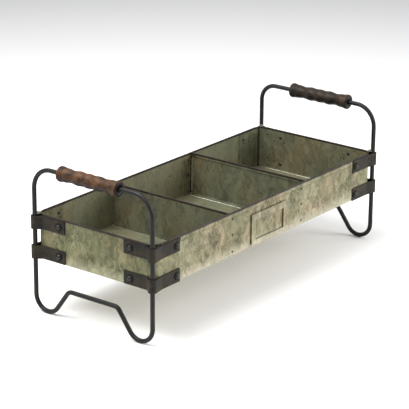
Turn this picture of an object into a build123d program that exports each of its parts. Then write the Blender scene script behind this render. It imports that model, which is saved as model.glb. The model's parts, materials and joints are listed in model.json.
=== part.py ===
"""Sheet-metal parts tray, three compartments, carried in two bent-rod end frames.

Millimetres. Origin under the middle of the tray, on the surface the feet stand on.
+X runs along the tray, +Y is the back, +Z is up. The label holder is on the front (-Y).
"""
from build123d import *
from math import asin, atan2, cos, degrees, hypot, radians, sin, tan
import os

# ---- tray ----
SHEET = 0.8             # thickness of every sheet piece
END_X = 252.5           # outer face of an end panel
WALL_Y = 102.0          # outer face of a long wall
RIM_Z = 139.5           # top of the folded rim
FLOOR_Z = 75.5          # underside of the floor
CORNER_R = 12.0         # outer radius of the upright corners
BEND_R = 2.0            # outer radius of the bend between floor and long wall
LIP_T = 1.8             # thickness of a folded edge
LIP_DROP = 2.6          # how far the folded edge comes down outside
HEM_DROP = 8.3          # how far the long walls' hem comes down between the straps
HEM_HALF = 200.0        # half length of that hem
FLANGE_X = 199.0        # where an end panel's side flanges stop inside the long walls
FOOT_FLANGE = 6.0       # width of an end panel's bottom flange

# ---- dividers ----
DIVIDER_LEFT_X = -95.4
DIVIDER_RIGHT_X = 83.6
SIDE_FLANGE = 18.0
SIDE_FLANGE_GAP = 1.0   # between a side flange's top and the hem
SIDE_FLANGE_RISE = 1.5  # a side flange's bottom, above the floor
FLOOR_FLANGE = 11.5
FLOOR_FLANGE_INSET = 3.0   # at both ends of a floor flange
DIVIDER_HEM = 5.5
DIVIDER_RIVET_X = 9.0   # from the divider's face to its rivets
DIVIDER_RIVET_DEPTHS = (10.6, 33.0, 57.5)

# ---- end frames ----
ROD_R = 3.175
ROD_X = 256.8
LEG_Y = 101.5
HANDLE_Z = 205.2        # axis of the handle bar
STRETCHER_Z = 40.9      # axis of the low cross bar
HANDLE_BENDS = {"left": (30.0, 30.0), "right": (25.0, 30.0)}   # bent by hand: (back, front)
FOOT_BEND = 21.0
STRETCHER_BEND = 11.0
FOOT_SLOPE = 54.0       # degrees from level, of the slanted part of a foot
ROD_JOINT_GAP = 1.0     # the rod's two ends, hidden in the grip

# ---- grips ----
GRIP_HALF = 51.0
GRIP_BORE_R = 4.3
GRIP_FLARE_R = 11.1
GRIP_SHOULDER_R = 10.0
GRIP_SHOULDER_INSET = 11.0   # from the grip's end
GRIP_NECK_R = 8.8
GRIP_NECK_Y = 27.5      # from the middle of the grip
GRIP_BULGE_R = 10.1
GRIP_BULGE_Y = 16.0     # between neighbouring bulges
GRIP_HOLLOW_R = 9.4     # between neighbouring bulges
GRIP_ROUND = 2.4        # rounding of the end's edge
RING_INSETS = (4.2, 6.6, 9.0)   # ring grooves, from the grip's end
RING_WIRE_R = 0.55
RING_LIFT = 0.15        # groove's middle, above the flare
GRIP_LEFT_Y = 3.6       # the grips slide a little along the bar
GRIP_RIGHT_Y = -5.7

# ---- straps and their rivets ----
STRAP_T = 1.8
STRAP_H = 18.4
STRAP_LOOP_R = 4.6      # middle of the strap's thickness, round the rod
STRAP_FRONT_END = 203.0
STRAP_FRONT_BEND = 240.0
STRAP_SIDE_END = 51.0
STRAP_SIDE_BEND = 90.0
UPPER_STRAP_TOP = RIM_Z - 2.8
LOWER_STRAP_TOP = FLOOR_Z + 0.4 + STRAP_H
RIVET_X = 209.5
RIVET_Y = 61.5
RIVET_SHANK_R = 2.0
RIVET_HEAD_R = 3.7
RIVET_HEAD_H = 2.4
RIVET_TAIL_R = 2.6
RIVET_TAIL_H = 1.0
WASHER_R = 5.7
WASHER_T = 1.3
WASHER_ROUND = 0.9
SMALL_SHANK_R = 1.2
SMALL_HEAD_R = 1.8
SMALL_HEAD_H = 0.7
SMALL_TAIL_R = 1.9
SMALL_TAIL_H = 0.6
HOLE_EASE = 0.05
NOTCH_EASE = 0.2        # between a divider's bottom corner and the bend below it

# ---- label holder ----
LABEL_X = -5.5
LABEL_W = 80.0
LABEL_H = 44.0
LABEL_TOP = RIM_Z - 16.0
LABEL_SIDE_WIDE = 10.0
LABEL_SIDE_SLIM = 5.5
LABEL_HEAD_BAR = 10.0
LABEL_FOOT_BAR = 6.0
CARD_GAP = 1.2
TAB_H = 5.0
TAB_INSET = 5.0
TAB_FOLD = 4.0
TAB_EASE = 0.1

# ---- weld beads ----
WELD_LUMP = (4.4, 3.3, 2.7)      # half sizes: away from the tray, along it, up
WELD_LIFT = 0.1

INNER_Y = WALL_Y - SHEET
FLOOR_TOP = FLOOR_Z + SHEET
CORNER_X = END_X - CORNER_R      # where the straight long wall stops
ARC_Y = INNER_Y - CORNER_R       # middle of an upright corner's arc, with CORNER_X
WRAP_TURN = 45.0                 # degrees that a long wall runs on round the corner
WRAP_TOP = RIM_Z - LIP_DROP - 0.1
FOOT_Z = ROD_R
TINY = 0.001
CUT = 3.0                        # how far a cutting shape runs past a face
MARKS = {"left": -1, "right": 1, "front": -1, "back": 1}
STRAP_TOPS = {"upper": UPPER_STRAP_TOP, "lower": LOWER_STRAP_TOP}


def box(x0, x1, y0, y1, z0, z1):
    """Box between two corners, given in either order."""
    size = (abs(x1 - x0), abs(y1 - y0), abs(z1 - z0))
    middle = ((x0 + x1) / 2, (y0 + y1) / 2, (z0 + z1) / 2)
    return Pos(*middle) * Box(*size)


def rod_between(a, b, radius):
    """Round bar from point a to point b."""
    start = Vector(*a)
    axis = Vector(*b) - start
    along = Plane(origin=start, z_dir=axis)
    return along * Cylinder(radius, axis.length, align=(Align.CENTER, Align.CENTER, Align.MIN))


def bent_path(points, bends):
    """Wire through points with each inner corner rounded to its own radius."""
    edges = []
    start = Vector(*points[0])
    for before, corner, after, radius in zip(points, points[1:], points[2:], bends):
        corner = Vector(*corner)
        come = (corner - Vector(*before)).normalized()
        leave = (Vector(*after) - corner).normalized()
        half_turn = radians(come.get_angle(leave)) / 2
        reach = radius * tan(half_turn)
        first = corner - come * reach
        last = corner + leave * reach
        inward = (leave - come).normalized()
        crown = corner + inward * (radius / cos(half_turn) - radius)
        if (first - start).length > TINY:
            edges.append(Line(start, first))
        edges.append(ThreePointArc(first, crown, last))
        start = last
    end = Vector(*points[-1])
    if (end - start).length > TINY:
        edges.append(Line(start, end))
    return Wire(edges)


def mirrored(shape, side_x, side_y):
    """Copy made for the +X, +Y corner, moved to the corner with these signs."""
    if side_x < 0:
        shape = mirror(shape, Plane.YZ)
    if side_y < 0:
        shape = mirror(shape, Plane.XZ)
    return shape


def lip_profile(hem):
    """Folded edge in a plane: x outwards from the sheet's inner face, y up to the rim."""
    middle = LIP_T / 2
    roll = Pos(middle, -middle) * (Circle(middle) - Circle(middle - SHEET))
    upper_half = Pos(middle, 0) * Rectangle(LIP_T, LIP_T)
    leaf = Pos(LIP_T - SHEET / 2, -(middle + hem) / 2) * Rectangle(SHEET, hem - middle)
    return (roll & upper_half) + leaf


# ---- tray pan ----
def pan_profile():
    """Floor and both long walls, seen along X, with their short folded lips."""
    depth = RIM_Z - LIP_T / 2 - FLOOR_Z
    outer = Pos(0, FLOOR_Z + depth / 2) * Rectangle(2 * WALL_Y, depth)
    outer = fillet(outer.vertices().group_by(Axis.Y)[0], BEND_R)
    inner_depth = depth - SHEET
    inner = Pos(0, FLOOR_TOP + inner_depth / 2) * Rectangle(2 * INNER_Y, inner_depth)
    inner = fillet(inner.vertices().group_by(Axis.Y)[0], BEND_R - SHEET)
    lip = Pos(INNER_Y, RIM_Z) * lip_profile(LIP_DROP)
    return outer - inner + lip + mirror(lip, Plane.YZ)


def label_tab_heights():
    return (LABEL_TOP - TAB_INSET, LABEL_TOP - LABEL_H + TAB_INSET)


def tray_pan():
    profile = Plane(origin=(-CORNER_X, 0, 0), x_dir=(0, 1, 0), z_dir=(1, 0, 0)) * pan_profile()
    pan = extrude(profile, 2 * CORNER_X)
    plan = RectangleRounded(2 * END_X, 2 * WALL_Y, CORNER_R)
    ends = extrude(Pos(0, 0, FLOOR_Z) * plan, SHEET)
    pan += ends - box(-CORNER_X, CORNER_X, -WALL_Y, WALL_Y, FLOOR_Z, FLOOR_TOP)
    wrap_height = WRAP_TOP - FLOOR_Z
    wall_face = Pos(INNER_Y + SHEET / 2, FLOOR_Z + wrap_height / 2) * Rectangle(SHEET, wrap_height)
    wall_plane = Plane(origin=(CORNER_X, 0, 0), x_dir=(0, 1, 0), z_dir=(1, 0, 0))
    wrap = revolve(wall_plane * wall_face, Axis((CORNER_X, ARC_Y, 0), (0, 0, -1)), revolution_arc=WRAP_TURN)
    for side_x in (-1, 1):
        for side_y in (-1, 1):
            pan += mirrored(wrap, side_x, side_y)
    leaf_y = INNER_Y + LIP_T
    for side in (-1, 1):
        pan += box(-HEM_HALF, HEM_HALF, side * (leaf_y - SHEET), side * leaf_y,
                   RIM_Z - HEM_DROP, RIM_Z - LIP_DROP)
    holes = []
    for side in (-1, 1):
        for end in (-1, 1):
            for top in STRAP_TOPS.values():
                holes.append((end * RIVET_X, side, top - STRAP_H / 2, RIVET_SHANK_R))
        for x in (DIVIDER_LEFT_X + DIVIDER_RIVET_X, DIVIDER_RIGHT_X - DIVIDER_RIVET_X):
            for depth in DIVIDER_RIVET_DEPTHS:
                holes.append((x, side, RIM_Z - depth, SMALL_SHANK_R))
    for x, side, z, radius in holes:
        pan -= rod_between((x, side * (INNER_Y - CUT), z), (x, side * (WALL_Y + CUT), z),
                           radius + HOLE_EASE)
    for x in (LABEL_X - LABEL_W / 2, LABEL_X + LABEL_W / 2 - SHEET):
        for z in label_tab_heights():
            pan -= box(x - TAB_EASE, x + SHEET + TAB_EASE, -WALL_Y - CUT, -INNER_Y + CUT,
                       z - TAB_H / 2 - TAB_EASE, z + TAB_H / 2 + TAB_EASE)
    return pan


# ---- end panels ----
def end_panel(side_x):
    """End wall with rounded corners, side flanges, bottom flange and folded rim."""
    outline = bent_path([(FLANGE_X, INNER_Y), (END_X, INNER_Y), (END_X, -INNER_Y),
                         (FLANGE_X, -INNER_Y)], (CORNER_R, CORNER_R))
    inside_y = INNER_Y - SHEET
    inside = bent_path([(FLANGE_X, -inside_y), (END_X - SHEET, -inside_y), (END_X - SHEET, inside_y),
                        (FLANGE_X, inside_y)], (CORNER_R - SHEET, CORNER_R - SHEET))
    caps = [Line((FLANGE_X, side * INNER_Y), (FLANGE_X, side * inside_y)) for side in (-1, 1)]
    plan = Face(Wire(outline.edges() + inside.edges() + ShapeList([c.edge() for c in caps])))
    height = RIM_Z - LIP_T / 2 - FLOOR_TOP
    panel = extrude(Pos(0, 0, FLOOR_TOP) * plan, height, dir=(0, 0, 1))
    for side in (-1, 1):
        panel -= box(FLANGE_X - CUT, CORNER_X, side * (INNER_Y - CUT), side * (INNER_Y + CUT),
                     RIM_Z - LIP_T, RIM_Z)
        panel -= box(FLANGE_X - CUT, CORNER_X, side * (INNER_Y - CUT), side * (INNER_Y + CUT),
                     FLOOR_TOP, FLOOR_TOP + BEND_R)
    lip_plane = Plane(origin=(END_X - SHEET, ARC_Y, RIM_Z), x_dir=(1, 0, 0), z_dir=(0, -1, 0))
    lip_face = lip_plane * lip_profile(LIP_DROP)
    turn_axis = Axis((CORNER_X, ARC_Y, 0), (0, 0, 1))
    corner_lip = revolve(lip_face, turn_axis, revolution_arc=90)
    panel += extrude(lip_face, 2 * ARC_Y)
    panel += corner_lip
    panel += mirror(corner_lip, Plane.XZ)
    panel += box(END_X - SHEET - FOOT_FLANGE, END_X - SHEET, -ARC_Y, ARC_Y,
                 FLOOR_TOP, FLOOR_TOP + SHEET)
    for top in STRAP_TOPS.values():
        z = top - STRAP_H / 2
        for side in (-1, 1):
            panel -= rod_between((END_X - CUT, side * RIVET_Y, z), (END_X + CUT, side * RIVET_Y, z),
                                 RIVET_SHANK_R + HOLE_EASE)
            panel -= rod_between((RIVET_X, side * (INNER_Y - CUT), z), (RIVET_X, side * (WALL_Y + CUT), z),
                                 RIVET_SHANK_R + HOLE_EASE)
    return mirrored(panel, side_x, 1)


# ---- dividers ----
def divider(face_x, inward):
    """Upright sheet; its hem and flanges turn towards the middle (inward is +1 or -1)."""
    top = RIM_Z - LIP_T / 2
    far = face_x + inward * SHEET
    sheet = box(face_x, far, -INNER_Y, INNER_Y, FLOOR_TOP, top)
    lip_plane = Plane(origin=(face_x, inward * INNER_Y, RIM_Z), x_dir=(inward, 0, 0),
                      z_dir=(0, -inward, 0))
    lip = extrude(lip_plane * lip_profile(DIVIDER_HEM), 2 * INNER_Y)
    flange_top = RIM_Z - DIVIDER_HEM - SIDE_FLANGE_GAP
    sheet += lip
    for side in (-1, 1):
        sheet += box(face_x, face_x + inward * SIDE_FLANGE, side * INNER_Y, side * (INNER_Y - SHEET),
                     FLOOR_TOP + SIDE_FLANGE_RISE, flange_top)
    flange_y = INNER_Y - FLOOR_FLANGE_INSET
    sheet += box(face_x, face_x + inward * FLOOR_FLANGE, -flange_y, flange_y, FLOOR_TOP, FLOOR_TOP + SHEET)
    notch = BEND_R - SHEET + NOTCH_EASE
    for side in (-1, 1):
        sheet -= box(face_x - inward, far + inward, side * (INNER_Y - notch), side * INNER_Y,
                     FLOOR_TOP, FLOOR_TOP + notch)
    x = face_x + inward * DIVIDER_RIVET_X
    for side in (-1, 1):
        for depth in DIVIDER_RIVET_DEPTHS:
            z = RIM_Z - depth
            sheet -= rod_between((x, side * (INNER_Y - CUT), z), (x, side * (INNER_Y + CUT), z),
                                 SMALL_SHANK_R + HOLE_EASE)
    return sheet


def cap_middle(radius, height):
    """Point halfway along the outline of a low rounded cap, from its rim to its crown."""
    ball_r = (radius ** 2 + height ** 2) / (2 * height)
    half = asin(radius / ball_r) / 2
    return (ball_r * sin(half), height - ball_r + ball_r * cos(half))


def rivet(at, outward, grip_length, shank_r, head, tail):
    """Rivet whose head sits at point at and faces outward; head and tail are (radius, height)."""
    head_r, head_h = head
    tail_r, tail_h = tail
    tail_x, tail_y = cap_middle(*tail)
    head_x, head_y = cap_middle(*head)
    tail_arc = ThreePointArc((0, -grip_length - tail_h), (tail_x, -grip_length - tail_y),
                             (tail_r, -grip_length))
    side = Polyline((tail_r, -grip_length), (shank_r, -grip_length), (shank_r, 0), (head_r, 0))
    head_arc = ThreePointArc((head_r, 0), (head_x, head_y), (0, head_h))
    axis_line = Line((0, head_h), (0, -grip_length - tail_h))
    outline = Wire([tail_arc.edge(), *side.edges(), head_arc.edge(), axis_line.edge()])
    turned = revolve(Plane.XZ * make_face(outline), Axis.Z)
    return Plane(origin=at, z_dir=outward) * turned


def washer(at, outward):
    """Washer with a rounded outer edge, lying at point at under a strap rivet's head."""
    hole_r = RIVET_SHANK_R + HOLE_EASE
    shoulder = WASHER_R - WASHER_ROUND
    straight = Polyline((WASHER_R, 0), (hole_r, 0), (hole_r, WASHER_T), (shoulder, WASHER_T))
    crown = (shoulder + WASHER_ROUND * cos(radians(45)), WASHER_T * cos(radians(45)))
    edge = ThreePointArc((shoulder, WASHER_T), crown, (WASHER_R, 0))
    outline = Wire([*straight.edges(), edge.edge()])
    return Plane(origin=at, z_dir=outward) * revolve(Plane.XZ * make_face(outline), Axis.Z)


def divider_rivets(face_x, inward):
    x = face_x + inward * DIVIDER_RIVET_X
    head = (SMALL_HEAD_R, SMALL_HEAD_H)
    tail = (SMALL_TAIL_R, SMALL_TAIL_H)
    solids = []
    for side in (-1, 1):
        for depth in DIVIDER_RIVET_DEPTHS:
            at = (x, side * WALL_Y, RIM_Z - depth)
            solids.append(rivet(at, (0, side, 0), 2 * SHEET, SMALL_SHANK_R, head, tail))
    return Compound(children=solids)


# ---- end frames ----
def end_frame(side_x, handle_bends):
    """One rod: over the handle, down a leg, round a foot, along the cross bar and back up."""
    slope = radians(FOOT_SLOPE)
    foot_turn = radians(90 + FOOT_SLOPE)
    foot_tip_z = FOOT_Z + FOOT_BEND - FOOT_BEND * tan(foot_turn / 2)
    cross_y = LEG_Y - (STRETCHER_Z - foot_tip_z) / tan(slope)
    half = [(0, ROD_JOINT_GAP / 2, HANDLE_Z), (0, LEG_Y, HANDLE_Z), (0, LEG_Y, foot_tip_z),
            (0, cross_y, STRETCHER_Z)]
    points = half + [(0, -y, z) for x, y, z in reversed(half)]
    back_bend, front_bend = handle_bends
    foot_bends = [FOOT_BEND, STRETCHER_BEND]
    path = bent_path(points, [back_bend, *foot_bends, *reversed(foot_bends), front_bend])
    section = Plane(origin=half[0], z_dir=(0, 1, 0)) * Circle(ROD_R)
    return Pos(side_x * ROD_X, 0, 0) * sweep(section, path)


# ---- grips ----
def grip(side_x, middle_y):
    """Turned grip on the Y axis: flared ends, two necks, three low bulges, ring grooves."""
    round_y = GRIP_HALF - GRIP_ROUND
    half = [(round_y, GRIP_FLARE_R), (GRIP_HALF - GRIP_SHOULDER_INSET, GRIP_SHOULDER_R),
            (GRIP_NECK_Y, GRIP_NECK_R), (GRIP_BULGE_Y, GRIP_BULGE_R),
            (GRIP_BULGE_Y / 2, GRIP_HOLLOW_R), (0.0, GRIP_BULGE_R)]
    shoulder = [(-y, r) for y, r in half] + [(y, r) for y, r in reversed(half[:-1])]
    curve = Spline([Vector(r, y) for y, r in shoulder], tangents=[(0, 1), (0, 1)])
    edges = [curve.edge()]
    end_r = GRIP_FLARE_R - GRIP_ROUND
    sag = GRIP_ROUND * (1 - cos(radians(45)))
    for side in (-1, 1):
        edges.append(ThreePointArc((GRIP_FLARE_R, side * round_y),
                                   (GRIP_FLARE_R - sag, side * (GRIP_HALF - sag)),
                                   (end_r, side * GRIP_HALF)).edge())
        edges.append(Line((end_r, side * GRIP_HALF), (GRIP_BORE_R, side * GRIP_HALF)).edge())
    edges.append(Line((GRIP_BORE_R, -GRIP_HALF), (GRIP_BORE_R, GRIP_HALF)).edge())
    turned = revolve(make_face(Wire(edges)), Axis.Y)
    for inset in RING_INSETS:
        for side in (-1, 1):
            ring = Rot(90, 0, 0) * Torus(GRIP_FLARE_R + RING_LIFT, RING_WIRE_R)
            turned -= Pos(0, side * (GRIP_HALF - inset), 0) * ring
    return Pos(side_x * ROD_X, middle_y, HANDLE_Z) * turned


# ---- straps ----
def strap_path():
    """Middle line of a strap at the +X, +Y corner, seen from above."""
    front_y = WALL_Y + STRAP_T / 2
    side_x = END_X + STRAP_T / 2
    bend_a = (STRAP_FRONT_BEND, front_y)
    bend_b = (side_x, STRAP_SIDE_BEND)
    to_a = (ROD_X - bend_a[0], LEG_Y - bend_a[1])
    angle_a = atan2(to_a[1], to_a[0]) + asin(STRAP_LOOP_R / hypot(*to_a))
    to_b = (ROD_X - bend_b[0], LEG_Y - bend_b[1])
    angle_b = atan2(to_b[1], to_b[0]) - asin(STRAP_LOOP_R / hypot(*to_b))
    cross = cos(angle_a) * sin(angle_b) - sin(angle_a) * cos(angle_b)
    gap = (bend_b[0] - bend_a[0], bend_b[1] - bend_a[1])
    along = (gap[0] * sin(angle_b) - gap[1] * cos(angle_b)) / cross
    tip = (bend_a[0] + along * cos(angle_a), bend_a[1] + along * sin(angle_a))
    points = [(STRAP_FRONT_END, front_y), bend_a, tip, bend_b, (side_x, STRAP_SIDE_END)]
    return bent_path(points, (STRAP_LOOP_R,) * 3)


def strap(side_x, side_y, top):
    path = Pos(0, 0, top - STRAP_H / 2) * strap_path()
    start = (STRAP_FRONT_END, WALL_Y + STRAP_T / 2, top - STRAP_H / 2)
    section = Plane(origin=start, x_dir=(0, 1, 0), z_dir=(1, 0, 0)) * Rectangle(STRAP_T, STRAP_H)
    shape = sweep(section, path)
    z = top - STRAP_H / 2
    shape -= rod_between((RIVET_X, WALL_Y - CUT, z), (RIVET_X, WALL_Y + CUT, z), RIVET_SHANK_R + HOLE_EASE)
    shape -= rod_between((END_X - CUT, RIVET_Y, z), (END_X + CUT, RIVET_Y, z), RIVET_SHANK_R + HOLE_EASE)
    return mirrored(shape, side_x, side_y)


def strap_fixings(side_x, side_y):
    """Where a corner's four strap rivets sit: (point on the strap, way out, thickness held)."""
    places = []
    for top in STRAP_TOPS.values():
        z = top - STRAP_H / 2
        places.append(((side_x * RIVET_X, side_y * (WALL_Y + STRAP_T), z), (0, side_y, 0), 2 * SHEET))
        places.append(((side_x * (END_X + STRAP_T), side_y * RIVET_Y, z), (side_x, 0, 0), SHEET))
    return places


def strap_rivets(side_x, side_y):
    head = (RIVET_HEAD_R, RIVET_HEAD_H)
    tail = (RIVET_TAIL_R, RIVET_TAIL_H)
    solids = []
    for at, outward, sheets in strap_fixings(side_x, side_y):
        under_head = Vector(*at) + Vector(*outward) * WASHER_T
        held = WASHER_T + STRAP_T + sheets
        solids.append(rivet(under_head, outward, held, RIVET_SHANK_R, head, tail))
    return Compound(children=solids)


def strap_washers(side_x, side_y):
    return Compound(children=[washer(at, outward) for at, outward, _ in strap_fixings(side_x, side_y)])


# ---- weld beads ----
def weld_bead(panel, frame, side_x, side_y):
    """Lump of weld outside the rim's corner, filling the space between it and the rod."""
    arc_middle = (CORNER_X, ARC_Y)
    away = degrees(atan2(LEG_Y - arc_middle[1], ROD_X - arc_middle[0]))
    rim_reach = CORNER_R + LIP_T - SHEET
    rod_reach = hypot(LEG_Y - arc_middle[1], ROD_X - arc_middle[0]) - ROD_R
    reach = (rim_reach + rod_reach) / 2
    x = arc_middle[0] + reach * cos(radians(away))
    y = arc_middle[1] + reach * sin(radians(away))
    lump = scale(Sphere(1), WELD_LUMP)
    lump = Pos(x, y, RIM_Z + WELD_LIFT) * (Rot(0, 0, away) * lump)
    lump = mirrored(lump, side_x, side_y)
    keep = box(0, side_x * 2 * END_X, 0, side_y * 2 * WALL_Y, WRAP_TOP + HOLE_EASE, 2 * RIM_Z)
    pieces = ((lump & keep) - panel - frame).solids()
    return max(pieces, key=lambda piece: piece.volume)


# ---- label holder ----
def label_holder():
    """Plate with an off-centre window, held off the front wall by four folded tabs."""
    left = LABEL_X - LABEL_W / 2
    right = LABEL_X + LABEL_W / 2
    back_y = -WALL_Y - CARD_GAP
    front_y = back_y - SHEET
    plate = box(left, right, front_y, back_y, LABEL_TOP - LABEL_H, LABEL_TOP)
    plate -= box(left + LABEL_SIDE_WIDE, right - LABEL_SIDE_SLIM, front_y - CUT, back_y + CUT,
                 LABEL_TOP - LABEL_H + LABEL_FOOT_BAR, LABEL_TOP - LABEL_HEAD_BAR)
    for edge, way in ((left, 1), (right, -1)):
        for z in label_tab_heights():
            low, high = z - TAB_H / 2, z + TAB_H / 2
            plate += box(edge, edge + way * SHEET, back_y, -INNER_Y + SHEET, low, high)
            plate += box(edge + way * SHEET, edge - way * TAB_FOLD, -INNER_Y, -INNER_Y + SHEET, low, high)
    return plate


def build():
    parts = {"tray_pan": tray_pan(), "label_holder": label_holder()}
    dividers = {"left": (DIVIDER_LEFT_X, 1), "right": (DIVIDER_RIGHT_X, -1)}
    for end, middle_y in (("left", GRIP_LEFT_Y), ("right", GRIP_RIGHT_Y)):
        side_x = MARKS[end]
        parts[f"end_panel_{end}"] = end_panel(side_x)
        parts[f"divider_{end}"] = divider(*dividers[end])
        parts[f"divider_rivets_{end}"] = divider_rivets(*dividers[end])
        parts[f"end_frame_{end}"] = end_frame(side_x, HANDLE_BENDS[end])
        parts[f"grip_{end}"] = grip(side_x, middle_y)
        for face in ("front", "back"):
            side_y = MARKS[face]
            corner = f"{face}_{end}"
            for level, top in STRAP_TOPS.items():
                parts[f"strap_{level}_{corner}"] = strap(side_x, side_y, top)
            parts[f"strap_rivets_{corner}"] = strap_rivets(side_x, side_y)
            parts[f"strap_washers_{corner}"] = strap_washers(side_x, side_y)
            parts[f"weld_{corner}"] = weld_bead(parts[f"end_panel_{end}"], parts[f"end_frame_{end}"],
                                                side_x, side_y)
    return parts


os.makedirs("parts", exist_ok=True)
for name, shape in build().items():
    export_step(shape, f"parts/{name}.step")
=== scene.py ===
"""Looks of the parts sorting tray: weathered galvanised sheet, dark rod frames, turned wooden grips."""
import json
import math

import bpy
from mathutils import Matrix, Vector, noise


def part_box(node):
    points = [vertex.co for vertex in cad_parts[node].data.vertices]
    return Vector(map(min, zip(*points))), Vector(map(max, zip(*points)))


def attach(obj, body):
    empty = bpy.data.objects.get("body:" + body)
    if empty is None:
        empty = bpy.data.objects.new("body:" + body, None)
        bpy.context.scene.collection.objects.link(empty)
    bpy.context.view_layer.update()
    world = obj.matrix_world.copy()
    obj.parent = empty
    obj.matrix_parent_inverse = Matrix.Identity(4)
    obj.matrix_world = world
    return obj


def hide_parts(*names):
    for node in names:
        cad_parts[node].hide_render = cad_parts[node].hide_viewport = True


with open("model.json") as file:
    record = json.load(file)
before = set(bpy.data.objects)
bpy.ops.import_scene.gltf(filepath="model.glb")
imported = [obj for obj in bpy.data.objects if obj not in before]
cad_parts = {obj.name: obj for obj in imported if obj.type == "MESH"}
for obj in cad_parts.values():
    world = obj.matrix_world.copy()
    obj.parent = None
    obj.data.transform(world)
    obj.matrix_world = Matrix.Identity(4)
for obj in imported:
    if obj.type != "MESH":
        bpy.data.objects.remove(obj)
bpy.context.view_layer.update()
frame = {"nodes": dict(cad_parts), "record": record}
NODES = frame["nodes"]
MM = 0.001

# ---- sizes of the sheet pieces ----
SHEET = 0.8 * MM                 # thickness
LIP_OUT = 1.0 * MM               # how far a folded rim stands out from its sheet
CORNER_R = 12.0 * MM             # outer radius of the end panels' upright corners
HEM_DROP, HEM_HALF = 8.3 * MM, 200.0 * MM          # the long walls' hem: its depth and half length
FLANGE_X = 199.0 * MM            # where the end panels' side flanges stop
DIVIDER_FOOT, END_FOOT = 11.5 * MM, 6.0 * MM       # widths of the floor flanges

FLOOR_LOW, RIM_TOP = (corner.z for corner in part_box("tray_pan"))
FLOOR_TOP = FLOOR_LOW + SHEET
END_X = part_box("end_panel_right")[1].x - LIP_OUT
INNER_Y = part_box("divider_right")[1].y
CORNER_X, ARC_Y = END_X - CORNER_R, INNER_Y - CORNER_R      # middle of an upright corner's arc
DIVIDER_LEFT_X, DIVIDER_RIGHT_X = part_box("divider_left")[0].x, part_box("divider_right")[1].x
PAN_MIDDLE, PANEL_MIDDLE = CORNER_R + SHEET / 2, CORNER_R - SHEET / 2
SKIN_BLEND = 0.05 * MM           # half the width over which inner and outer skin meet
# x of painted shade lines up the inner corners: in the end panels' rounded corners and beside the dividers'
# side flanges
CORNER_SHADE_X = END_X - 6.5 * MM
DIVIDER_SHADE_XS = (DIVIDER_LEFT_X + 3 * MM, DIVIDER_RIGHT_X - 3 * MM)

# ---- patterns: noise scale, detail and roughness, then the noise values that become 0 and 1 ----
CLOUD = (34.0, 5.0, 0.62, 0.4, 0.6)
MOTTLE = (150.0, 4.0, 0.65, 0.36, 0.64)
WARMTH = (13.0, 3.0, 0.55, 0.42, 0.62)
SPECKS = (190.0, 4.0, 0.75, 0.6, 0.72)
RIM_RUST = (120.0, 4.0, 0.7, 0.35, 0.65)
IRON_CLOUD = (70.0, 5.0, 0.65, 0.35, 0.65)
IRON_SPOTS = (35.0, 4.0, 0.7, 0.55, 0.68)
WOOD_BLOTCH = (62.0, 4.0, 0.6, 0.38, 0.62)
WOOD_DIRT = (80.0, 5.0, 0.7, 0.47, 0.62)
# crystals: scale, width of the lines, scale of their gaps, and the noise values of gap and line
COARSE_CRYSTALS = (88.0, 0.2, 60.0, 0.42, 0.6)
FINE_CRYSTALS = (210.0, 0.16, 90.0, 0.45, 0.6)

# ---- the turned grips, in millimetres ----
GRIP_KNOTS = ((0.0, 10.1), (8.0, 9.4), (16.0, 10.1), (27.5, 8.8),
              (40.0, 10.0), (48.6, 11.1), (51.0, 11.1))      # (from the middle, radius)
GRIP_HALF, GRIP_ROUND, GRIP_BORE = 51.0, 2.4, 4.3
RING_INSETS = (4.2, 6.6, 9.0)    # grooves, from the grip's end
GROOVE_DEPTH, GROOVE_WIDTH = 0.45, 0.4
GRIP_SHAVED = 0.2                # taken off all round, so that wear stays inside the plain grip
WEAR, FINE_WEAR, KNOCK = (0.35, 0.09), (0.12, 0.35), (1.1, 0.22)     # (depth, noise scale)
KNOCK_FROM = 0.35                # noise value above which a knock starts

# ---- small dark marks inside the tray: (from the middle, below the rim), in millimetres ----
END_MARKS = ((73, 19), (55, 18.5), (72, 50.5), (-54, 21), (86, 11), (86, 48), (84, 59))
BACK_MARKS = ((211, 18), (224, 18), (209, 48), (-205, 9), (-206, 20), (32, 24))
MARK_HALF, MARK_DEPTH = 1.3 * MM, 0.5 * MM

# ---- weld beads: each blob's (place along the bead, share of its size) ----
WELD_BLOBS = ((-0.35, 0.62), (0.25, 0.7), (0.75, 0.45))

# ---- worn edges, pale also as a painted highlight: radii of the thin beads ----
FOOT_BEAD, CORNER_BEAD, END_BEAD = 0.55 * MM, 0.45 * MM, 0.5 * MM


# ---- node helpers ----
def node(tree, kind, inputs=None, **settings):
    """Adds one node; inputs maps a socket's name or number to a value or to another node's output."""
    made = tree.nodes.new(kind)
    for key, value in settings.items():
        setattr(made, key, value)
    for key, value in (inputs or {}).items():
        socket = made.inputs[key]
        if isinstance(value, bpy.types.NodeSocket):
            tree.links.new(value, socket)
        else:
            socket.default_value = value
    return made


def new_material(name):
    made = bpy.data.materials.new(name)
    made.use_nodes = True
    tree = made.node_tree
    tree.nodes.clear()
    out = node(tree, "ShaderNodeOutputMaterial")
    shader = node(tree, "ShaderNodeBsdfPrincipled")
    tree.links.new(shader.outputs[0], out.inputs[0])
    return made, tree, shader


def rgb(r, g, b):
    """Linear colour from 0-255 display values."""
    def linear(v):
        v /= 255
        return v / 12.92 if v <= 0.04045 else ((v + 0.055) / 1.055) ** 2.4
    return (linear(r), linear(g), linear(b), 1.0)


def mix(tree, factor, a, b, blend="MIX"):
    made = node(tree, "ShaderNodeMix", data_type="RGBA", blend_type=blend)
    for key, value in ((0, factor), (6, a), (7, b)):
        if isinstance(value, bpy.types.NodeSocket):
            tree.links.new(value, made.inputs[key])
        else:
            made.inputs[key].default_value = value
    return made.outputs[2]


def calc(tree, operation, a, b=0.0):
    return node(tree, "ShaderNodeMath", {0: a, 1: b}, operation=operation).outputs[0]


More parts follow.
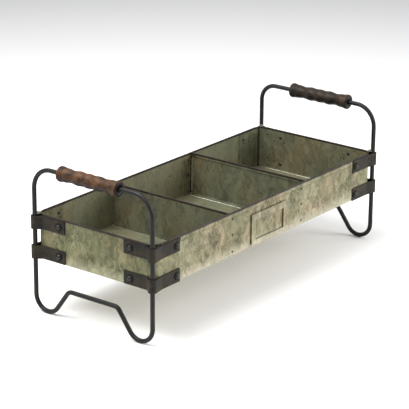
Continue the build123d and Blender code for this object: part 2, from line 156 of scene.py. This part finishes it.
def span(tree, value, low, high, to_low=0.0, to_high=1.0):
    return node(tree, "ShaderNodeMapRange", {0: value, 1: low, 2: high, 3: to_low, 4: to_high}).outputs[0]


def noise_at(tree, where, scale, detail=4.0, rough=0.55, distortion=0.0):
    return node(tree, "ShaderNodeTexNoise", {"Vector": where, "Scale": scale, "Detail": detail,
                                             "Roughness": rough, "Distortion": distortion}).outputs[0]


def bump(tree, height, strength, distance):
    settings = {"Height": height, "Strength": strength, "Distance": distance}
    return node(tree, "ShaderNodeBump", settings).outputs[0]


def place(tree):
    return node(tree, "ShaderNodeTexCoord").outputs["Object"]


def vector(tree, operation, a, b):
    return node(tree, "ShaderNodeVectorMath", {0: a, 1: b}, operation=operation).outputs[0]


def patches(tree, where, pattern):
    """0 to 1 in soft patches, from one of the patterns above."""
    scale, detail, rough, low, high = pattern
    return span(tree, noise_at(tree, where, scale, detail, rough), low, high)


def tint(tree, colour, other, mask, share):
    """The colour, mixed with that share of the other one where the mask is 1."""
    return mix(tree, calc(tree, "MULTIPLY", mask, share), colour, other)


def grained(tree, colour, grain, share, dark):
    """The colour, varied lighter and darker by the grain; dark is the grain's deepest grey."""
    greys = mix(tree, grain, rgb(dark, dark, dark), rgb(255, 255, 255))
    return mix(tree, share, colour, greys, "OVERLAY")


# ---- materials ----
def outside_mask(tree, where, middle):
    """1 on the tray's outer skin, 0 on its inner one, split at the middle of the sheet's thickness."""
    split = node(tree, "ShaderNodeSeparateXYZ", {0: where})
    past = []
    for axis, straight in ((0, CORNER_X), (1, ARC_Y)):
        size = calc(tree, "ABSOLUTE", split.outputs[axis])
        past.append(calc(tree, "MAXIMUM", calc(tree, "SUBTRACT", size, straight), 0.0))
    squares = [calc(tree, "MULTIPLY", length, length) for length in past]
    reach = calc(tree, "SQRT", calc(tree, "ADD", *squares))
    side = span(tree, reach, middle - SKIN_BLEND, middle + SKIN_BLEND)
    low = FLOOR_LOW + SHEET / 2
    under = span(tree, split.outputs[2], low + SKIN_BLEND, low - SKIN_BLEND)
    return calc(tree, "MAXIMUM", side, under)


def band(tree, value, middle, half, soft):
    """1 within half of the middle, fading to 0 over soft."""
    away = calc(tree, "ABSOLUTE", calc(tree, "SUBTRACT", value, middle))
    return span(tree, away, half + soft, half)


def stretched(tree, where, rise, push, wave):
    """Coordinates drawn out along Z by 1 / rise, waved about by noise of scale wave and that push."""
    wobble = node(tree, "ShaderNodeTexNoise", {"Vector": where, "Scale": wave, "Detail": 3.0}).outputs[1]
    shift = vector(tree, "SUBTRACT", wobble, (0.5, 0.5, 0.5))
    shift = node(tree, "ShaderNodeVectorMath", {0: shift, "Scale": push}, operation="SCALE").outputs[0]
    return vector(tree, "MULTIPLY", vector(tree, "ADD", where, shift), (1.0, 1.0, rise))


def crystals(tree, where, scale, width, gap_scale, low, high):
    """Zinc crystals: (random tone of each, broken dark line between them), both 0 to 1."""
    socket_values = {"Vector": where, "Scale": scale}
    cells = node(tree, "ShaderNodeTexVoronoi", socket_values)
    edges = node(tree, "ShaderNodeTexVoronoi", socket_values, feature="DISTANCE_TO_EDGE")
    tone = node(tree, "ShaderNodeSeparateColor", {0: cells.outputs["Color"]}).outputs[0]
    stroke = span(tree, noise_at(tree, where, gap_scale * 1.7, 2.0), 0.35, 0.65, 0.3, 2.2)
    line = span(tree, calc(tree, "DIVIDE", edges.outputs["Distance"], stroke), width, 0.0)
    broken = span(tree, noise_at(tree, where, gap_scale, 3.0), low, high)
    return tone, calc(tree, "MULTIPLY", line, broken)


def outer_skin(tree, where, split, cloud, mottle, warm, tall):
    """Pale khaki with greenish patches and dark lines, a painted reflection of the floor at the bottom,
    painted shade on the end faces and under the hem.
    """
    tone, line = crystals(tree, tall, *COARSE_CRYSTALS)
    fine_line = crystals(tree, tall, *FINE_CRYSTALS)[1]
    colour = mix(tree, warm, OUT_PALE, OUT_TAN)
    colour = tint(tree, colour, OUT_GREEN, cloud, 0.6)
    colour = tint(tree, colour, OUT_DEEP, mottle, 0.4)
    colour = tint(tree, colour, OUT_GREEN, tone, 0.25)
    smudge = span(tree, noise_at(tree, tall, 95.0, 4.0, 0.6, 1.4), 0.53, 0.6)
    colour = tint(tree, colour, OUT_SMUDGE, smudge, 0.5)
    colour = tint(tree, colour, OUT_LINE, line, 0.6)
    colour = tint(tree, colour, OUT_LINE, fine_line, 0.5)
    high = split.outputs[2]
    # painted reflection of the white floor: the sheet is paled toward its bottom edge
    ragged = calc(tree, "ADD", high, calc(tree, "MULTIPLY", mottle, 6 * MM))
    floor_glow = span(tree, ragged, FLOOR_LOW + 20 * MM, FLOOR_LOW + 3 * MM)
    colour = tint(tree, colour, OUT_BRIGHT, floor_glow, 0.6)
    length = calc(tree, "ABSOLUTE", split.outputs[0])
    # painted shade: the outer end faces are darkened
    end_shade = span(tree, length, END_X - 8 * MM, END_X - 2 * MM)
    colour = mix(tree, calc(tree, "MULTIPLY", end_shade, 0.8), colour, OUT_END_SHADE, "MULTIPLY")
    shade_half = 0.45 * MM
    hem = band(tree, high, RIM_TOP - HEM_DROP - shade_half, shade_half, 0.3 * MM)
    hem = calc(tree, "MULTIPLY", hem, span(tree, length, HEM_HALF, HEM_HALF - 2 * MM))
    return tint(tree, colour, OUT_LINE, hem, 0.75)


def inner_skin(tree, where, split, cloud, warm, tall, shade_line_xs):
    """Darker greenish brown with rust specks, and a painted shade line up each corner at the given x."""
    tone, line = crystals(tree, tall, *COARSE_CRYSTALS)
    fine_tone = crystals(tree, tall, *FINE_CRYSTALS)[0]
    colour = mix(tree, warm, IN_GREEN, IN_TAN)
    colour = tint(tree, colour, IN_DEEP, cloud, 0.5)
    colour = tint(tree, colour, IN_PALE, tone, 0.35)
    colour = tint(tree, colour, IN_DEEP, fine_tone, 0.25)
    colour = tint(tree, colour, IN_LINE, line, 0.5)
    colour = tint(tree, colour, IN_RUST, patches(tree, where, SPECKS), 0.45)
    width = calc(tree, "ABSOLUTE", split.outputs[1])
    # painted shade: a dark line up each inner corner
    for place_x in shade_line_xs:
        corner_shade = band(tree, split.outputs[0], place_x, 1.1 * MM, 0.6 * MM)
        corner_shade = calc(tree, "MULTIPLY", corner_shade, span(tree, width, ARC_Y + 2 * MM, ARC_Y + 4 * MM))
        colour = tint(tree, colour, IN_SHADE, corner_shade, 0.85)
    return colour


def zinc(name, middle, shade_line_xs=(), shaded_edges=False, lift=0.0):
    """Weathered galvanised sheet.

    middle is the radius that parts its two skins in the upright corners; shade_line_xs are the x of
    painted shade lines up the inner corners; lift pales the inner skin; shaded_edges paints shade on the
    edges of a flat plate that faces along Y, and pales its face a little.
    """
    made, tree, shader = new_material(name)
    where = place(tree)
    tall = stretched(tree, where, 0.5, 0.03, 45.0)
    split = node(tree, "ShaderNodeSeparateXYZ", {0: where})
    cloud, mottle = patches(tree, tall, CLOUD), patches(tree, tall, MOTTLE)
    warm = patches(tree, where, WARMTH)
    grain = noise_at(tree, where, 480.0, 3.0, 0.75)
    outer = outer_skin(tree, where, split, cloud, mottle, warm, tall)
    inner = mix(tree, lift, inner_skin(tree, where, split, cloud, warm, tall, shade_line_xs), IN_PALE)
    colour = mix(tree, outside_mask(tree, where, middle), inner, outer)
    colour = grained(tree, colour, grain, 0.45, 50)
    uneven = calc(tree, "MULTIPLY", noise_at(tree, where, 260.0, 3.0), 1.2 * MM)
    rim = span(tree, calc(tree, "ADD", split.outputs[2], uneven), RIM_TOP - 2.7 * MM, RIM_TOP - 2.0 * MM)
    colour = mix(tree, rim, colour, mix(tree, patches(tree, where, RIM_RUST), RIM_DARK, RIM_PALE))
    if shaded_edges:
        # painted shade in the gaps along the label plate's edges
        normal = node(tree, "ShaderNodeNewGeometry").outputs["Normal"]
        facing = node(tree, "ShaderNodeSeparateXYZ", {0: normal})
        edge = span(tree, calc(tree, "ABSOLUTE", facing.outputs[1]), 0.7, 0.5)
        colour = mix(tree, edge, mix(tree, 0.1, colour, OUT_BRIGHT), IN_SHADE)
    tree.links.new(colour, shader.inputs["Base Color"])
    tree.links.new(span(tree, cloud, 0.0, 1.0, 0.45, 0.65), shader.inputs["Roughness"])
    tree.links.new(span(tree, rim, 0.0, 1.0, 0.25, 0.0), shader.inputs["Metallic"])
    tree.links.new(bump(tree, grain, 0.25, 0.4 * MM), shader.inputs["Normal"])
    shader.inputs["Specular IOR Level"].default_value = 0.3
    return made


def dark_iron(name, low, high, patch, rough=0.48, shine=0.3):
    """Oxidised metal: two tones, patches of a third, fine scale."""
    made, tree, shader = new_material(name)
    where = place(tree)
    cloud = patches(tree, where, IRON_CLOUD)
    grain = noise_at(tree, where, 700.0, 3.0, 0.7)
    colour = tint(tree, mix(tree, cloud, low, high), patch, patches(tree, where, IRON_SPOTS), 0.6)
    colour = grained(tree, colour, grain, 0.3, 60)
    tree.links.new(colour, shader.inputs["Base Color"])
    tree.links.new(span(tree, cloud, 0.0, 1.0, rough - 0.08, rough + 0.12), shader.inputs["Roughness"])
    tree.links.new(bump(tree, grain, 0.3, 0.3 * MM), shader.inputs["Normal"])
    shader.inputs["Metallic"].default_value = 0.1
    shader.inputs["Specular IOR Level"].default_value = shine
    return made


def grip_wood(name, node_name, dark, middle, light, grime, ring):
    """Turned wood along Y: painted light on top and painted shade below, dark in the hollows, grooves and
    on the end faces.

    ring is the colour that shows, rubbed, between the grooves at the front end.
    """
    made, tree, shader = new_material(name)
    where = place(tree)
    low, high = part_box(node_name)
    split = node(tree, "ShaderNodeSeparateXYZ", {0: where})
    fibres = noise_at(tree, vector(tree, "MULTIPLY", where, (1.0, 0.1, 1.0)), 520.0, 4.0, 0.65, 0.8)
    blotch = patches(tree, where, WOOD_BLOTCH)
    across = calc(tree, "SUBTRACT", split.outputs[0], (low.x + high.x) / 2)
    rise = calc(tree, "SUBTRACT", split.outputs[2], (low.z + high.z) / 2)
    squares = [calc(tree, "MULTIPLY", length, length) for length in (across, rise)]
    radius = calc(tree, "SQRT", calc(tree, "ADD", *squares))
    # painted light: the top is paled and the underside left dark as painted shade
    wear_and_painted_light = span(tree, calc(tree, "ADD", rise, calc(tree, "MULTIPLY", blotch, 4 * MM)), -3 * MM, 8 * MM)
    hollow = span(tree, radius, 10.0 * MM, 8.9 * MM)
    away = calc(tree, "ABSOLUTE", calc(tree, "SUBTRACT", split.outputs[1], (low.y + high.y) / 2))
    half = (high.y - low.y) / 2
    colour = mix(tree, span(tree, fibres, 0.3, 0.7), dark, middle)
    colour = tint(tree, colour, light, wear_and_painted_light, 0.75)
    colour = tint(tree, colour, dark, hollow, 0.45)
    colour = tint(tree, colour, grime, patches(tree, where, WOOD_DIRT), 0.8)
    rubbed = band(tree, split.outputs[1], low.y + RING_INSETS[1] * MM, 3.6 * MM, 1.0 * MM)
    colour = mix(tree, rubbed, colour, mix(tree, blotch, ring, middle))
    for inset in RING_INSETS:
        groove = band(tree, away, half - inset * MM, 0.3 * MM, 0.4 * MM)
        colour = tint(tree, colour, grime, groove, 0.8)
    colour = mix(tree, span(tree, away, half - 1.6 * MM, half - 0.4 * MM), colour, grime)
    tree.links.new(colour, shader.inputs["Base Color"])
    tree.links.new(bump(tree, fibres, 0.4, 0.4 * MM), shader.inputs["Normal"])
    shader.inputs["Roughness"].default_value = 0.48
    shader.inputs["Specular IOR Level"].default_value = 0.2
    return made


OUT_PALE, OUT_TAN, OUT_BRIGHT = rgb(155, 151, 121), rgb(164, 146, 116), rgb(194, 188, 168)
OUT_GREEN, OUT_DEEP, OUT_LINE = rgb(112, 113, 86), rgb(90, 85, 56), rgb(56, 50, 26)
OUT_END_SHADE, OUT_SMUDGE = rgb(216, 222, 206), rgb(88, 92, 76)
IN_GREEN, IN_TAN, IN_PALE = rgb(103, 106, 86), rgb(115, 104, 76), rgb(136, 135, 108)
IN_DEEP, IN_LINE, IN_RUST = rgb(74, 77, 61), rgb(50, 46, 33), rgb(76, 55, 37)
# painted shade, for the inner corner lines and the label plate's edge gaps
IN_SHADE = rgb(24, 22, 15)
RIM_DARK, RIM_PALE = rgb(20, 16, 13), rgb(48, 36, 27)

ROD = dark_iron("rod_iron", rgb(12, 11, 11), rgb(24, 22, 20), rgb(36, 28, 22), 0.42)
STRAP = dark_iron("strap_iron", rgb(18, 17, 13), rgb(50, 45, 35), rgb(62, 46, 31), 0.55, 0.2)
RIVET = dark_iron("rivet_iron", rgb(10, 10, 9), rgb(22, 20, 18), rgb(28, 23, 18), 0.38, 0.5)
WASHER = dark_iron("washer_iron", rgb(7, 7, 6), rgb(14, 13, 11), rgb(22, 17, 13), 0.55, 0.2)
SMALL_RIVET = dark_iron("small_rivet_iron", rgb(26, 22, 16), rgb(50, 42, 28), rgb(42, 32, 22))
WELD = dark_iron("weld_metal", rgb(50, 47, 40), rgb(110, 106, 92), rgb(44, 37, 30), 0.35, 0.6)
# worn bare metal, its pale colour also a painted highlight on the bends
BARE_GLINT = dark_iron("bare_edge_glint", rgb(170, 172, 150), rgb(228, 230, 214), rgb(120, 116, 92), 0.35, 0.8)
LEFT_WOOD = grip_wood("left_wood", "grip_left", rgb(24, 16, 10), rgb(54, 36, 21), rgb(106, 70, 40),
                      rgb(16, 13, 9), rgb(98, 70, 44))
RIGHT_WOOD = grip_wood("right_wood", "grip_right", rgb(18, 13, 9), rgb(36, 27, 18), rgb(56, 42, 28),
                       rgb(10, 9, 8), rgb(92, 66, 41))
BY_SLOT = {"zinc_pan": zinc("zinc_pan", PAN_MIDDLE, lift=0.3),
           "zinc_label": zinc("zinc_label", PAN_MIDDLE, shaded_edges=True),
           "zinc_end": zinc("zinc_end", PANEL_MIDDLE, (-CORNER_SHADE_X, CORNER_SHADE_X)),
           "zinc_divider": zinc("zinc_divider", PAN_MIDDLE, DIVIDER_SHADE_XS),
           "black_rod": ROD, "dark_strap": STRAP, "strap_rivet": RIVET, "strap_washer": WASHER,
           "small_rivet": SMALL_RIVET, "weld": WELD,
           "left_grip_wood": LEFT_WOOD, "right_grip_wood": RIGHT_WOOD}
for part in frame["record"]["subparts"]:
    mesh = NODES[part["node"]].data
    mesh.materials.clear()
    mesh.materials.append(BY_SLOT[part["material_slot"]])


# ---- pieces ----
def add_piece(name, vertices, faces, material, body="tray"):
    mesh = bpy.data.meshes.new(name)
    mesh.from_pydata(vertices, [], faces)
    for face in mesh.polygons:
        face.use_smooth = True
    mesh.materials.append(material)
    made = bpy.data.objects.new(name, mesh)
    bpy.context.scene.collection.objects.link(made)
    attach(made, body)
    return made


def ring_faces(rings, around, closed=False):
    """Quads between neighbouring rings of points; closed also joins the last ring to the first."""
    faces = []
    for ring in range(rings if closed else rings - 1):
        after = (ring + 1) % rings
        for i in range(around):
            j = (i + 1) % around
            faces.append((ring * around + i, ring * around + j, after * around + j, after * around + i))
    return faces


def grip_radius(y):
    """Turned outline in mm at a distance y from the grip's middle, with its three ring grooves."""
    y = min(abs(y), GRIP_HALF)
    radius = GRIP_KNOTS[-1][1]
    for (y0, r0), (y1, r1) in zip(GRIP_KNOTS, GRIP_KNOTS[1:]):
        if y0 <= y <= y1:
            radius = r0 + (r1 - r0) * (1 - math.cos(math.pi * (y - y0) / (y1 - y0))) / 2
            break
    for inset in RING_INSETS:
        radius -= GROOVE_DEPTH * math.exp(-((y - GRIP_HALF + inset) / GROOVE_WIDTH) ** 2)
    past = y - (GRIP_HALF - GRIP_ROUND)
    if past > 0:
        radius -= GRIP_ROUND - math.sqrt(max(GRIP_ROUND ** 2 - past ** 2, 0))
    return radius


def make_grip(end, seed):
    """Hand-turned grip: the lathe outline with uneven wear and small knocks, bored through for the rod."""
    low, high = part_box(f"grip_{end}")
    middle = (low + high) / 2
    around, steps = 72, 204
    vertices = []
    for step in range(steps + 1):
        y = -GRIP_HALF + 2 * GRIP_HALF * step / steps
        for i in range(around):
            angle = 2 * math.pi * i / around
            way = Vector((math.cos(angle), 0, math.sin(angle)))
            spot = way * 10 + Vector((seed, y, 0))
            wear_and_painted_light = sum(depth * noise.noise(spot * scale) for depth, scale in (WEAR, FINE_WEAR))
            knock = max(0.0, noise.noise(spot * KNOCK[1] + Vector((9, 4, 7))) - KNOCK_FROM)
            radius = grip_radius(y) - GRIP_SHAVED + wear_and_painted_light - KNOCK[0] * knock
            vertices.append(middle + (way * radius + Vector((0, y, 0))) * MM)
    for y in (GRIP_HALF, -GRIP_HALF):
        for i in range(around):
            angle = 2 * math.pi * i / around
            way = Vector((math.cos(angle), 0, math.sin(angle)))
            vertices.append(middle + (way * GRIP_BORE + Vector((0, y, 0))) * MM)
    faces = ring_faces(steps + 3, around, closed=True)
    wood = {"left": LEFT_WOOD, "right": RIGHT_WOOD}[end]
    made = add_piece(f"turned_grip_{end}", vertices, faces, wood, f"grip_{end}")
    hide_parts(f"grip_{end}")


def lump(middle, half, seed, rough=0.3, rows=18, around=28):
    """Points and faces of a rounded blob whose surface heaves by the share rough."""
    vertices = []
    for row in range(rows + 1):
        tilt = math.pi * row / rows
        for i in range(around):
            turn = 2 * math.pi * i / around
            way = Vector((math.sin(tilt) * math.cos(turn), math.sin(tilt) * math.sin(turn), math.cos(tilt)))
            heave = 1 + rough * noise.noise(way * 1.7 + Vector((seed, 0, 0)))
            heave += rough * 0.5 * noise.noise(way * 4.5 + Vector((0, seed, 0)))
            vertices.append(middle + Vector([w * h for w, h in zip(way, half)]) * heave)
    return vertices, ring_faces(rows + 1, around)


def joined(shapes):
    """One list of points and one of faces from several."""
    vertices, faces = [], []
    for points, quads in shapes:
        start = len(vertices)
        vertices += points
        faces += [tuple(start + i for i in quad) for quad in quads]
    return vertices, faces


def make_welds():
    """Lumpy bead between the rim's corner and the rod, three blobs run together."""
    for side_x, end in ((-1, "left"), (1, "right")):
        for side_y, face in ((-1, "front"), (1, "back")):
            low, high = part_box(f"weld_{face}_{end}")
            middle, half = (low + high) / 2, (high - low) / 2
            seed = 3.1 * side_x + 7.7 * side_y
            shapes = []
            for share, size in WELD_BLOBS:
                shift = Vector((side_x * half.x, side_y * half.y * 0.5, 0.15 * half.z)) * share
                shapes.append(lump(middle + shift, half * size, seed + share * 5))
            vertices, faces = joined(shapes)
            made = add_piece(f"weld_bead_{face}_{end}", vertices, faces, WELD)
            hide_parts(f"weld_{face}_{end}")


def bead(start, end, radius, seed, steps=120, around=10):
    """Thin uneven bead from one point to another, closed at both ends."""
    along = (end - start).normalized()
    side = along.orthogonal().normalized()
    up = along.cross(side)
    vertices = []
    for step in range(steps + 1):
        share = step / steps
        taper = min(1.0, 12 * share + 0.05, 12 * (1 - share) + 0.05)
        for i in range(around):
            turn = 2 * math.pi * i / around
            spot = start + (end - start) * share
            wide = radius * taper * (1 + 0.35 * noise.noise(spot / MM * 0.25 + Vector((seed, 0, 0))))
            vertices.append(spot + (side * math.cos(turn) + up * math.sin(turn)) * wide)
    return vertices, ring_faces(steps + 1, around)


def make_glinting_edges():
    """Worn edges of the floor flanges and of the dividers' folded corners, made pale as a painted
    highlight.
    """
    floor_z = FLOOR_TOP + SHEET
    foot_y = INNER_Y - 4 * MM
    for end, face_x, inward in (("left", DIVIDER_LEFT_X, 1), ("right", DIVIDER_RIGHT_X, -1)):
        edge_x = face_x + inward * DIVIDER_FOOT
        start, end_point = Vector((edge_x, -foot_y, floor_z)), Vector((edge_x, foot_y, floor_z))
        shapes = [bead(start, end_point, FOOT_BEAD, face_x)]
        corner_x = face_x - 0.2 * inward * MM + inward * SHEET
        corner_y = INNER_Y - SHEET - 0.3 * MM
        low, high = Vector((0, 0, FLOOR_TOP + 2 * MM)), Vector((0, 0, RIM_TOP - 7 * MM))
        for side in (-1, 1):
            spot = Vector((corner_x, side * corner_y, 0))
            shapes.append(bead(spot + low, spot + high, CORNER_BEAD, side))
        vertices, faces = joined(shapes)
        add_piece(f"glinting_edges_divider_{end}", vertices, faces, BARE_GLINT)
    for side, end in ((-1, "left"), (1, "right")):
        edge_x = side * (END_X - SHEET - END_FOOT)
        start, end_point = Vector((edge_x, -ARC_Y, floor_z)), Vector((edge_x, ARC_Y, floor_z))
        vertices, faces = bead(start, end_point, END_BEAD, side)
        add_piece(f"glinting_edge_end_{end}", vertices, faces, BARE_GLINT)


def make_marks():
    """Small dark rivet tails and dimples on the right end's and the back wall's inner faces."""
    shapes = []
    half = Vector((MARK_DEPTH, MARK_HALF, MARK_HALF))
    for y, drop in END_MARKS:
        spot = Vector((END_X - SHEET, y * MM, RIM_TOP - drop * MM))
        shapes.append(lump(spot, half, y, 0.15, 10, 16))
    half = Vector((MARK_HALF, MARK_DEPTH, MARK_HALF))
    for x, drop in BACK_MARKS:
        lapped = abs(x * MM) > FLANGE_X
        spot = Vector((x * MM, INNER_Y - (SHEET if lapped else 0), RIM_TOP - drop * MM))
        shapes.append(lump(spot, half, x, 0.15, 10, 16))
    vertices, faces = joined(shapes)
    add_piece("inner_marks", vertices, faces, SMALL_RIVET)


make_marks()
make_grip("left", 2.0)
make_grip("right", 40.0)
make_welds()
make_glinting_edges()


# ---- floor, light and camera ----
FLOOR_HALF = 20.0
FLOOR_NEAR, FLOOR_FALLOFF_GREY = (0.87, 0.87, 0.87, 1), (0.49, 0.49, 0.494, 1)
FADE_FROM, FADE_TO = 0.6, 1.7          # painted light fall-off: the floor greys between these distances from the tray
BACK_FROM, BACK_TO = 2.5, 6.0          # and the painted fall-off fades out again between these
CAMERA_AZIMUTH, CAMERA_ELEVATION, CAMERA_ROLL = -52.46, 19.48, 0.47      # degrees
CAMERA_TARGET = Vector((-14.11, 0.55, 107.65)) * MM
CAMERA_DISTANCE = 2.80897
CAMERA_SENSOR, CAMERA_LENS = 36.0, 176.05
CAMERA_SHIFT = (-0.0017, -0.0008)
LAMP_TARGET = Vector((0, 0, 0.1))
WORLD_STRENGTH = 0.8


def towards(azimuth, elevation):
    a, e = math.radians(azimuth), math.radians(elevation)
    return Vector((math.sin(a) * math.cos(e), -math.cos(a) * math.cos(e), math.sin(e)))


def stage_floor():
    corners = [(x * FLOOR_HALF, y * FLOOR_HALF, 0) for x, y in ((-1, -1), (1, -1), (1, 1), (-1, 1))]
    mesh = bpy.data.meshes.new("floor")
    mesh.from_pydata(corners, [], [(0, 1, 2, 3)])
    floor = bpy.data.objects.new("floor", mesh)
    bpy.context.scene.collection.objects.link(floor)
    made, tree, shader = new_material("floor_paper")
    away = node(tree, "ShaderNodeVectorMath", {0: place(tree)}, operation="LENGTH").outputs["Value"]
    # painted light fall-off: the floor is greyed away from the tray
    painted_falloff = calc(tree, "MULTIPLY", span(tree, away, FADE_FROM, FADE_TO), span(tree, away, BACK_TO, BACK_FROM))
    paper = mix(tree, painted_falloff, FLOOR_NEAR, FLOOR_FALLOFF_GREY)
    tree.links.new(paper, shader.inputs["Base Color"])
    shader.inputs["Roughness"].default_value = 0.8
    mesh.materials.append(made)


def lamp(name, azimuth, elevation, distance, size, power):
    """Soft white square light aimed at the tray."""
    way = towards(azimuth, elevation)
    data = bpy.data.lights.new(name, "AREA")
    data.size, data.energy = size, power
    made = bpy.data.objects.new(name, data)
    made.location = LAMP_TARGET + way * distance
    made.rotation_mode = "QUATERNION"
    made.rotation_quaternion = (-way).to_track_quat("-Z", "Y")
    bpy.context.scene.collection.objects.link(made)


def make_camera():
    roll = math.radians(CAMERA_ROLL)
    back = towards(CAMERA_AZIMUTH, CAMERA_ELEVATION)
    right = Vector((0, 0, 1)).cross(back).normalized()
    up = back.cross(right)
    turned_right = math.cos(roll) * right + math.sin(roll) * up
    turned_up = -math.sin(roll) * right + math.cos(roll) * up
    data = bpy.data.cameras.new("camera")
    data.sensor_width, data.lens = CAMERA_SENSOR, CAMERA_LENS
    data.shift_x, data.shift_y = CAMERA_SHIFT
    made = bpy.data.objects.new("camera", data)
    matrix = Matrix((turned_right, turned_up, back)).transposed().to_4x4()
    matrix.translation = CAMERA_TARGET + back * CAMERA_DISTANCE
    made.matrix_world = matrix
    bpy.context.scene.collection.objects.link(made)
    bpy.context.scene.camera = made


def make_world():
    """Even white light from all round."""
    world = bpy.data.worlds.new("studio")
    world.use_nodes = True
    background = world.node_tree.nodes["Background"]
    background.inputs[0].default_value = (1, 1, 1, 1)
    background.inputs[1].default_value = WORLD_STRENGTH
    bpy.context.scene.world = world
    bpy.context.scene.view_settings.view_transform = "Standard"


stage_floor()
make_world()
lamp("key", -122, 62, 1.9, 1.3, 48)
lamp("fill", 38, 22, 2.6, 1.6, 52)
make_camera()
